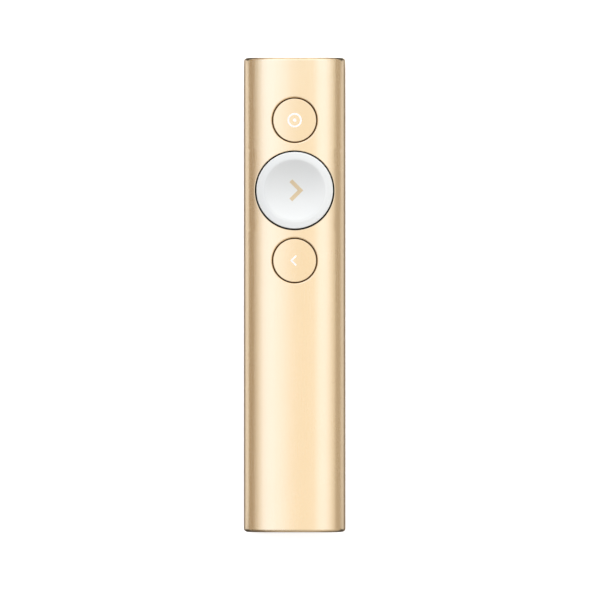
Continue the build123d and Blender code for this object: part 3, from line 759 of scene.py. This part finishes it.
def epoxy_finish(name, dot=None):
    """Moulded black epoxy; dot is the place and radius of the dimple that marks its first leg."""
    finish = Finish(name, IOR=1.54)
    grain = finish.place.noise(epoxy_grain)
    cloud = finish.place.noise(epoxy_cloud)
    height = grain
    if dot:
        height = grain + dimple_depth * finish.place.away(dot[0]).above(dot[1], 0.1 * dot[1])
    return finish.feed(
        Base_Color=cloud.tint(*epoxy_shades),
        Roughness=0.44 + 0.14 * grain + 0.06 * cloud,
        Normal=height.bump(epoxy_depth))


def steel_finish(name, shades, roughness, run=(1, 1, 1)):
    """Bright metal with rolling lines stretched along one axis."""
    finish = Finish(name, Metallic=1.0)
    lines = finish.place.scaled(*run).noise(rolling_line)
    smears = finish.place.noise(smear_size)
    return finish.feed(
        Base_Color=(0.5 * lines + 0.5 * smears).tint(*shades),
        Roughness=roughness + 0.1 * lines + 0.05 * smears,
        Normal=lines.bump(rolling_depth))


dome_steel = steel_finish("dome_steel", nickel_shades, 0.16)


def snap_dome(button):
    """Thin steel dome, its rim on the floor of the switch."""
    low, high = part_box(button + "_dome")
    rim, centre_y = radius_and_middle(button + "_dome")
    height = high.z - low.z
    rise = height - dome_sheet
    ball = (rim ** 2 + rise ** 2) / (2 * rise)
    skin = Skin()
    rows = []
    for drop, reaches in ((0, steps(0, rim, 12)[1:]), (dome_sheet, steps(rim, 0, 12)[:-1])):
        for reach in reaches:
            z = max(high.z - drop - ball + sqrt(ball ** 2 - reach ** 2), low.z)
            rows.append([(x, centre_y + y, z) for x, y in circle(reach, dome_facets)])
    made = skin.rows(rows)
    skin.close(made[0], (0, centre_y, high.z))
    skin.close(made[-1], (0, centre_y, high.z - dome_sheet))
    piece = skin.piece(button + "_snap_dome", "casing", dome_steel, "steel")
    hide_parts(button + "_dome")
    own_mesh(piece)


switch_epoxy = epoxy_finish("switch_epoxy")
for button in buttons:
    snap_dome(button)
    dress(switch_epoxy, button + "_switch", button + "_plunger")

# ---- Chassis and deck ----------------------------------------
# The chassis is a moulded tray that slides into the tube with everything on it. The deck is a plate
# over its board that guides the buttons, held by four black screws.

screw_shades = ((0.10, 0.10, 0.105), (0.18, 0.18, 0.185))
black_screw = steel_finish("black_screw", screw_shades, 0.34)
dress(charcoal, "chassis", "button_deck")
dress(black_screw, "deck_screws")

# ---- Circuit board -------------------------------------------
# Glass-filled board with copper tracks under green lacquer, bare gilt pads and tan sawn edges. It
# lies on the chassis, under the deck, and everything electric is soldered to it.

mask_green = (0.008, 0.085, 0.040)
track_green = (0.022, 0.170, 0.075)
pad_gilt = (0.80, 0.58, 0.24)
glass_tan = (0.42, 0.34, 0.17)
track_pitch = 0.9 * mm
track_half = 0.17
pad_pitch = 2.6 * mm
pad_reach = 0.14
routed_patch = 3.2 * mm
glass_weave = 0.3 * mm
copper_rise = 0.03 * mm


def board_finish():
    """Green lacquer over copper tracks and gilt pads on both faces; bare glass on the edges."""
    finish = Finish("green_lacquer", IOR=1.5, Coat_Weight=0.4, Coat_Roughness=0.18)
    place = finish.place
    lane = (place.axis("X") / track_pitch).math("FRACT") - 0.5
    routed = place.scaled(1, 0.3, 0).noise(routed_patch, detail=1).above(0.48, 0.02)
    track = (1 - lane.math("ABSOLUTE").above(track_half, 0.03)) * routed
    face = finish.normal.axis("Z").math("ABSOLUTE").above(0.5, 0.1)
    pad = (1 - place.cells(pad_pitch).above(pad_reach, 0.02)) * face
    weave = place.noise(glass_weave, detail=2)
    plated = pad.tint(track.tint(mask_green, track_green), pad_gilt)
    return finish.feed(
        Base_Color=face.tint(glass_tan, plated),
        Metallic=pad,
        Roughness=0.34 + 0.2 * (1 - face) + 0.08 * weave,
        Normal=(track + 0.4 * pad + 0.1 * weave).bump(copper_rise))


green_board = board_finish()
dress(green_board, "main_board")

# ---- Chips on the board --------------------------------------
# The radio, the motion sensor and the charger are flat black packages; the aerial is a fired ceramic
# bar with silvered ends, and the charge light is a ceramic carrier with a yellow lens.

dot_radius = 0.25 * mm
dot_inset = 0.7 * mm
aerial_shades = ((0.52, 0.49, 0.43), (0.60, 0.57, 0.50))
lens_shades = ((0.75, 0.66, 0.30), (0.82, 0.74, 0.38))
solder_shades = ((0.60, 0.60, 0.61), (0.74, 0.74, 0.75))
ceramic_grain = 0.08 * mm
ceramic_depth = 0.002 * mm
for chip in ("radio_chip", "motion_sensor", "charger_chip"):
    chip_low, chip_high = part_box(chip)
    dot_place = (chip_low.x + dot_inset, chip_high.y - dot_inset, chip_high.z)
    dress(epoxy_finish(chip + "_epoxy", (dot_place, dot_radius)), chip)


def ceramic_finish(name, node, ends, shades):
    """Fired ceramic, silvered beyond this share of its half width."""
    finish = Finish(name, IOR=1.6)
    box_low, box_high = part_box(node)
    centre = (box_low.x + box_high.x) / 2
    out = (finish.place.axis("X") - centre).math("ABSOLUTE") / ((box_high.x - box_low.x) / 2)
    end = out.above(ends, 0.03)
    grain = finish.place.noise(ceramic_grain)
    return finish.feed(
        Base_Color=end.tint(grain.tint(*shades), grain.tint(*solder_shades)),
        Metallic=end,
        Roughness=0.38 + 0.14 * grain,
        Normal=grain.bump(ceramic_depth))


dress(ceramic_finish("aerial_ceramic", "chip_antenna", 0.82, aerial_shades), "chip_antenna")
dress(ceramic_finish("light_ceramic", "status_led", 0.75, lens_shades), "status_led")

# ---- Battery -------------------------------------------------
# Flat lithium cell in a crimped foil pouch, its lead end wrapped in amber tape. Foam tape holds it to
# the chassis floor, and a red and a black lead run from it to a white socket under the board.

amber_reach = 3.5 * mm
amber_edge = 0.02 * mm
amber_shades = ((0.46, 0.19, 0.025), (0.58, 0.26, 0.04))
foil_shades = ((0.50, 0.51, 0.53), (0.68, 0.69, 0.71))
foil_crease = 1.6 * mm
foil_crimp = 0.5 * mm
foil_depth = 0.05 * mm
foam_shades = ((0.035, 0.035, 0.037), (0.075, 0.075, 0.078))
foam_pore = 0.16 * mm
foam_depth = 0.02 * mm
bloom_size = 3 * mm
black_sheath_shades = ((0.012, 0.012, 0.013), (0.028, 0.028, 0.03))
red_sheath_shades = ((0.38, 0.012, 0.012), (0.50, 0.03, 0.025))
scuff_size = 0.6 * mm
scuff_depth = 0.004 * mm
battery_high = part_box("battery")[1]


def pouch_finish():
    """Creased foil with a crimp, and amber tape round the lead end."""
    finish = Finish("foil_pouch", Coat_Weight=0.3, Coat_Roughness=0.25)
    place = finish.place
    creases = place.scaled(1, 0.5, 1).noise(foil_crease, detail=4)
    crimp = place.cells(foil_crimp)
    amber = place.axis("Y").above(battery_high.y - amber_reach, amber_edge)
    return finish.feed(
        Base_Color=amber.tint(creases.tint(*foil_shades), creases.tint(*amber_shades)),
        Metallic=0.9 * (1 - amber),
        Roughness=0.3 + 0.12 * creases + 0.05 * crimp,
        Normal=(creases + 0.15 * crimp + 0.2 * amber).bump(foil_depth))


def soft_finish(name, shades, cell, height, roughness):
    """Foam or rubber: matt, with pores of this size."""
    finish = Finish(name, IOR=1.45)
    pores = finish.place.cells(cell)
    bloom = finish.place.noise(bloom_size)
    return finish.feed(
        Base_Color=(0.5 * pores + 0.5 * bloom).tint(*shades),
        Roughness=roughness + 0.1 * bloom,
        Normal=pores.bump(height))


def sheath_finish(name, node):
    """Silicone sheaths: one lead of the pair black, the other red."""
    finish = Finish(name, IOR=1.42)
    low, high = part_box(node)
    red = finish.place.axis("X").above((low.x + high.x) / 2, 0.01 * mm)
    scuff = finish.place.noise(scuff_size)
    return finish.feed(
        Base_Color=red.tint(scuff.tint(*black_sheath_shades), scuff.tint(*red_sheath_shades)),
        Roughness=0.42 + 0.16 * scuff,
        Normal=scuff.bump(scuff_depth))


white_moulding = moulded_finish("white_moulding", lambda place, flow: flow.tint(*ring_shades))
dress(pouch_finish(), "battery")
dress(soft_finish("foam_tape", foam_shades, foam_pore, foam_depth, 0.8), "battery_tape")
dress(white_moulding, "battery_socket")
dress(sheath_finish("battery_sheaths", "battery_leads"), "battery_leads")

# ---- Vibration motor -----------------------------------------
# Drawn steel can held between two rubber pads, with a half-round sintered tungsten weight on its
# shaft; two thin leads run back from it.

rubber_shades = ((0.018, 0.018, 0.019), (0.035, 0.035, 0.036))
rubber_pore = 0.3 * mm
rubber_depth = 0.004 * mm
tungsten_shades = ((0.20, 0.20, 0.21), (0.33, 0.33, 0.34))
can_steel = steel_finish("drawn_steel", nickel_shades, 0.2, (1, 0.06, 1))
tungsten = steel_finish("sintered_tungsten", tungsten_shades, 0.42)
dress(can_steel, "motor_can", "motor_shaft")
dress(soft_finish("pad_rubber", rubber_shades, rubber_pore, rubber_depth, 0.6), "motor_pads")
dress(tungsten, "motor_weight")
dress(sheath_finish("motor_sheaths", "motor_leads"), "motor_leads")

# ---- Charging socket and receiver bay ------------------------
# The bay is a moulded sleeve that the receiver parks in, held to the chassis by two black screws.
# The charging socket stands behind it: a folded steel shell round a black tongue.

folded_steel = steel_finish("folded_steel", nickel_shades, 0.2, (1, 0.08, 1))
dress(charcoal, "receiver_bay")
dress(black_screw, "bay_screws")
dress(folded_steel, "charge_socket")
dress(switch_epoxy, "charge_tongue")

# ---- Receiver housing ----------------------------------------
# Hollow white moulding that parks flush with the bezel. A finger nail catches the recess in its tail,
# and the plug is held in the mouth in its front.

recess_half = (5.0 * mm, 2.2 * mm)
recess_corner = 0.6 * mm
recess_depth = 2.6 * mm
recess_edge = 0.25 * mm
recess_root = 0.2 * mm
housing_wall = 0.8 * mm
front_edge = 0.3 * mm
plug_half = (6.0 * mm, 2.25 * mm)
plug_corner = 0.4 * mm
plug_gap = 0.01 * mm
corner_bearings = (8, 27)

quarter = steps(0, corner_bearings[0], 4) + steps(*corner_bearings, 32)[1:]
quarter += steps(corner_bearings[1], 90, 12)[1:]
half_circle = quarter + [180 - bearing for bearing in reversed(quarter[:-1])]
whole_circle = half_circle + [180 + bearing for bearing in half_circle[1:-1]]
compass = [(cos(radians(bearing)), 0, middle + sin(radians(bearing))) for bearing in whole_circle]
grip_half = (receiver_high.x, (receiver_high.z - receiver_low.z) / 2)
grip_rear = receiver_low.y
grip_front = receiver_high.y


def slot_edge(half, corner, y, spread=0.0):
    """Row round a rounded slot of this half size, spread outward by this much."""
    return slot_row(compass, half[0] + spread, half[1] + spread, corner + spread, y)


def slot_round(half, corner, radius, start_y, spread_way, y_way, swap=False):
    """Rows round an edge that turns through a right angle; swap has it leave sideways first."""
    rows = []
    for offsets in quarter_round(radius, 6):
        out, along = reversed(offsets) if swap else offsets
        rows.append(slot_edge(half, corner, start_y + y_way * along, spread_way * out))
    return rows


recess_floor = grip_rear + recess_depth
hollow_half = (grip_half[0] - housing_wall, grip_half[1] - housing_wall)
hollow_corner = receiver_corner - housing_wall
hollow_rear = recess_floor + housing_wall
mouth_half = (plug_half[0] + plug_gap, plug_half[1] + plug_gap)
floor_half = (recess_half[0] - recess_root, recess_half[1] - recess_root)
floor_corner = recess_corner - recess_root
tail_half = (grip_half[0] - end_edge_round, grip_half[1] - end_edge_round)
tail_corner = receiver_corner - end_edge_round
front_inside = grip_front - housing_wall

housing_rows = [slot_edge(floor_half, floor_corner, recess_floor, -share * floor_half[1])
                for share in (0.8, 0.4)]
housing_rows += slot_round(floor_half, floor_corner, recess_root, recess_floor, 1, -1, swap=True)
housing_rows += slot_round(recess_half, recess_corner, recess_edge, grip_rear + recess_edge, 1, -1)
housing_rows += between(housing_rows[-1], slot_edge(tail_half, tail_corner, grip_rear), [0.05, 0.5, 0.95])
housing_rows += slot_round(tail_half, tail_corner, end_edge_round, grip_rear, 1, 1, swap=True)
housing_rows += [slot_edge(grip_half, receiver_corner, grip_rear + end_edge_round + edge_hold)]
housing_rows += slot_round(grip_half, receiver_corner, front_edge, grip_front - front_edge, -1, 1)
housing_rows += [slot_edge(mouth_half, plug_corner, grip_front, edge_hold)]
housing_rows += [slot_edge(mouth_half, plug_corner, y) for y in (grip_front, front_inside)]
housing_rows += [slot_edge(hollow_half, hollow_corner, y) for y in (front_inside, hollow_rear)]
housing = Skin()
made_rows = housing.rows(housing_rows)
housing.close(made_rows[0], (0, recess_floor, middle))
housing.close(made_rows[-1], (0, hollow_rear, middle))
housing_piece = housing.piece("receiver_grip", "receiver", white_moulding, "white_plastic")
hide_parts("receiver_housing")

# ---- Receiver strap ------------------------------------------
# Short woven polyester ribbon across the nail recess, moulded in at both ends. Its yarns cross over
# and under each other, and its edges are turned.

yarn_width = 0.42 * mm
yarn_height = 0.04 * mm
# Yarn colours: the darker one partly painted shade, the lighter one partly painted highlight.
yarn_shade_and_highlight = ((0.15, 0.155, 0.16), (0.42, 0.43, 0.44))
fibre_width = 0.06 * mm
fibre_rise = 0.012 * mm
strap_low, strap_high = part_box("receiver_strap")
strap_middle = (strap_low + strap_high) / 2
strap_half = (strap_high - strap_low) / 2
strap_square = 5.0
strap_facets = 96
strap_rows = 140
wave = pi / yarn_width


def ribbon_row(x):
    """Row round the ribbon's flat section, raised where a yarn comes to the surface."""
    row = []
    for i in range(strap_facets):
        turn = 2 * pi * i / strap_facets
        reach = (abs(cos(turn)) ** strap_square + abs(sin(turn)) ** strap_square) ** (-1 / strap_square)
        flat_y, flat_z = cos(turn) * reach, sin(turn) * reach
        z = flat_z * (strap_half.z - yarn_height)
        crossing = sin(wave * x) * sin(wave * z)
        thick = strap_half.y - yarn_height + yarn_height * crossing * copysign(1, flat_y)
        row.append((x, strap_middle.y + flat_y * thick, strap_middle.z + z))
    return row


ribbon = Skin()
ribbon_rows = ribbon.rows([ribbon_row(x) for x in steps(strap_low.x, strap_high.x, strap_rows)])
ribbon.close(ribbon_rows[0], (strap_low.x, strap_middle.y, strap_middle.z))
ribbon.close(ribbon_rows[-1], (strap_high.x, strap_middle.y, strap_middle.z))


def ribbon_finish():
    """Grey polyester, with a painted highlight where a yarn lies on top and painted shade between."""
    finish = Finish("woven_polyester", IOR=1.45)
    along = (finish.place.axis("X") * wave).math("SINE")
    across = ((finish.place.axis("Z") - strap_middle.z) * wave).math("SINE")
    # Painted highlight on the yarns that lie on top, painted shade on those beneath.
    over = 0.5 + 0.5 * along * across
    fibre = finish.place.scaled(0.25, 1, 1).noise(fibre_width)
    return finish.feed(
        Base_Color=(0.6 * over + 0.4 * fibre).tint(*yarn_shade_and_highlight),
        Roughness=0.66 + 0.2 * fibre,
        Normal=fibre.bump(fibre_rise))


ribbon_piece = ribbon.piece("receiver_ribbon", "receiver", ribbon_finish(), "woven_strap", sharp=60)
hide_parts("receiver_strap")

# ---- Receiver plug -------------------------------------------
# Folded steel shell with two latch windows in each wide side, round a white tongue with four gilt
# contacts. The receiver's own board is soldered on behind it.

gilt_shades = ((0.72, 0.50, 0.17), (0.84, 0.62, 0.26))
gilt = steel_finish("gilt_contact", gilt_shades, 0.18, (1, 0.1, 1))
dress(folded_steel, "receiver_plug")
dress(white_moulding, "receiver_tongue")
dress(gilt, "receiver_contacts")
dress(green_board, "receiver_board")

# ---- Studio --------------------------------------------------
# A white floor under a long soft light, with softer panels left, right and beyond the nose, and warm
# walls that only reflections show. The camera looks straight down from far above, through a long lens.

ground_reach = 3.0
ground_z = -0.02 * mm
floor_white = (0.86, 0.86, 0.86)
# Painted shade: the floor's right side is darker for light that bounces off the part.
painted_right_floor_shade = (0.70, 0.69, 0.67)
right_floor_start = 25 * mm
right_floor_soft = 15 * mm
# Painted contact shadow round the part, seen only by light that bounces off it.
painted_contact_shadow = (0.20, 0.17, 0.14)
contact_middle = 9 * mm
contact_soft = 5 * mm
contact_lean = (1.0 * mm, -13 * mm)
contact_stretch = 4 * mm
# Painted shade past the part's corners, near black.
painted_corner_shade = (0.02, 0.018, 0.015)
corner_inset = 5 * mm
corner_soft = 2.5 * mm
corner_reach = 200 * mm
camera_lift = 0.6
glossy_lift = 0.05

ground = Skin()
ground.rows([[(x, y, ground_z) for x in steps(-ground_reach, ground_reach, 12)]
             for y in steps(-ground_reach, ground_reach, 12)], closed=False)
ground_mesh = bpy.data.meshes.new("studio_floor")
ground.mesh.to_mesh(ground_mesh)
floor = bpy.data.objects.new("studio_floor", ground_mesh)
scene.collection.objects.link(floor)

# Light that bounces off the part finds painted shade on the floor: a painted contact shadow where
# the part stands, painted black shade past its corners and a painted darker right side; the camera
# finds it white all over.
floor_finish = Finish("studio_white", Roughness=0.9, Specular_IOR_Level=0.0, Emission_Strength=1.0)
spot = floor_finish.place
spot_x, spot_y = spot.axis("X"), spot.axis("Y")
camera_ray = spot.node("ShaderNodeLightPath", output="Is Camera Ray")
glossy_ray = spot.node("ShaderNodeLightPath", output="Is Glossy Ray")
lift = (camera_lift * camera_ray + glossy_lift * glossy_ray).tint((0, 0, 0), (1, 1, 1))
beyond_side = (spot_x - contact_lean[0]).math("ABSOLUTE") - half_width
beyond_end = (spot_y - contact_lean[1]).math("ABSOLUTE") - (nose + contact_stretch)
outside_painted_shadow = beyond_side.math("MAXIMUM", beyond_end).above(contact_middle, contact_soft)
open_floor = spot_x.above(right_floor_start, right_floor_soft).tint(floor_white, painted_right_floor_shade)
past_side = spot_x.math("ABSOLUTE") - (half_width - corner_inset)
past_end = spot_y.math("ABSOLUTE") - nose
in_painted_corner_shade = past_side.math("MINIMUM", past_end).above(corner_soft, corner_soft)
near = 1 - spot.away((0, 0, 0)).above(corner_reach, 0.2 * corner_reach)
# Painted shade on the floor: contact shadow and corner shade, for bounced light only.
painted_floor_shade = (in_painted_corner_shade * near).tint(outside_painted_shadow.tint(painted_contact_shadow, open_floor), painted_corner_shade)
floor_colour = camera_ray.tint(painted_floor_shade, floor_white)
floor.data.materials.append(floor_finish.feed(Emission_Color=lift, Base_Color=floor_colour))

air_white = (1, 1, 1)
wall_tail = (0.14, 0.11, 0.08)
wall_left = (0.515, 0.43, 0.335)
wall_nose = (0.56, 0.46, 0.36)
wall_right = (0.57, 0.50, 0.41)
wall_turn = 0.35
right_wall_start = 0.2
right_wall_soft = 0.6
world = bpy.data.worlds.new("studio_air")
scene.world = world
world.use_nodes = True
air = Signal(world.node_tree)
way = air.node("ShaderNodeTexCoord", output="Generated")
walls = way.axis("Y").above(-wall_turn, wall_turn).tint(wall_tail, wall_left)
walls = way.axis("Y").above(wall_turn, wall_turn).tint(walls, wall_nose)
walls = way.axis("X").above(right_wall_start, right_wall_soft).tint(walls, wall_right)
shown = air.node("ShaderNodeLightPath", output="Is Camera Ray").tint(walls, air_white)
world.node_tree.links.new(shown.socket, world.node_tree.nodes["Background"].inputs["Color"])


def softbox(name, place, size, brightness, tint=(1, 1, 1), down=False, glossy=True, diffuse=True):
    """Rectangular soft light, aimed straight down or at the part; brightness 1 mirrors as white."""
    lamp = bpy.data.lights.new(name, "AREA")
    lamp.shape = "RECTANGLE"
    lamp.size, lamp.size_y = size
    lamp.energy = pi * size[0] * size[1] * brightness
    lamp.color = tint
    held = bpy.data.objects.new(name, lamp)
    held.location = place
    aim = Vector((place[0], place[1], 0)) if down else Vector()
    held.rotation_euler = (aim - Vector(place)).to_track_quat("-Z", "Y").to_euler()
    held.visible_camera = False
    held.visible_glossy = glossy
    held.visible_diffuse = diffuse
    scene.collection.objects.link(held)


warm_white = (1.0, 0.97, 0.825)
panel_blue = (0.25, 0.5, 1.0)
glow_blue = (0, 0.4, 1.0)
card_cream = (1, 0.95, 0.86)
softbox("overhead", (0.0375, 0.31, 0.8), (1.385, 1.68), 0.592, warm_white, down=True)
softbox("left_panel", (-0.301, 0.31, 0.79), (0.489, 1.68), 0.8, panel_blue, down=True)
softbox("right_panel", (0.383, 0.31, 0.79), (0.365, 1.68), 0.68, panel_blue, down=True)
softbox("nose_panel", (0.12, 1.15, 0.62), (1.3, 0.5), 1.0)
softbox("nose_fill", (0.12, 1.3, 0.276), (1.3, 0.4), 12.3, glossy=False)
softbox("nose_glow", (0, 0.2, 0.3), (0.5, 0.25), 0.26, glow_blue, down=True, diffuse=False)
softbox("tail_card", (0, -1.1, 0.75), (1.3, 0.55), 0.55, card_cream, diffuse=False)

camera_height = 4.0
camera_x = -0.047 * mm
camera_y = 0.115 * mm
view_across = 163.03 * mm
sensor_across = 36
camera = bpy.data.cameras.new("camera")
camera.sensor_width = sensor_across
camera.lens = sensor_across * (camera_height - middle) / view_across
camera_stand = bpy.data.objects.new("camera", camera)
camera_stand.location = (camera_x, camera_y, camera_height)
scene.collection.objects.link(camera_stand)
scene.camera = camera_stand
scene.view_settings.view_transform = "Standard"
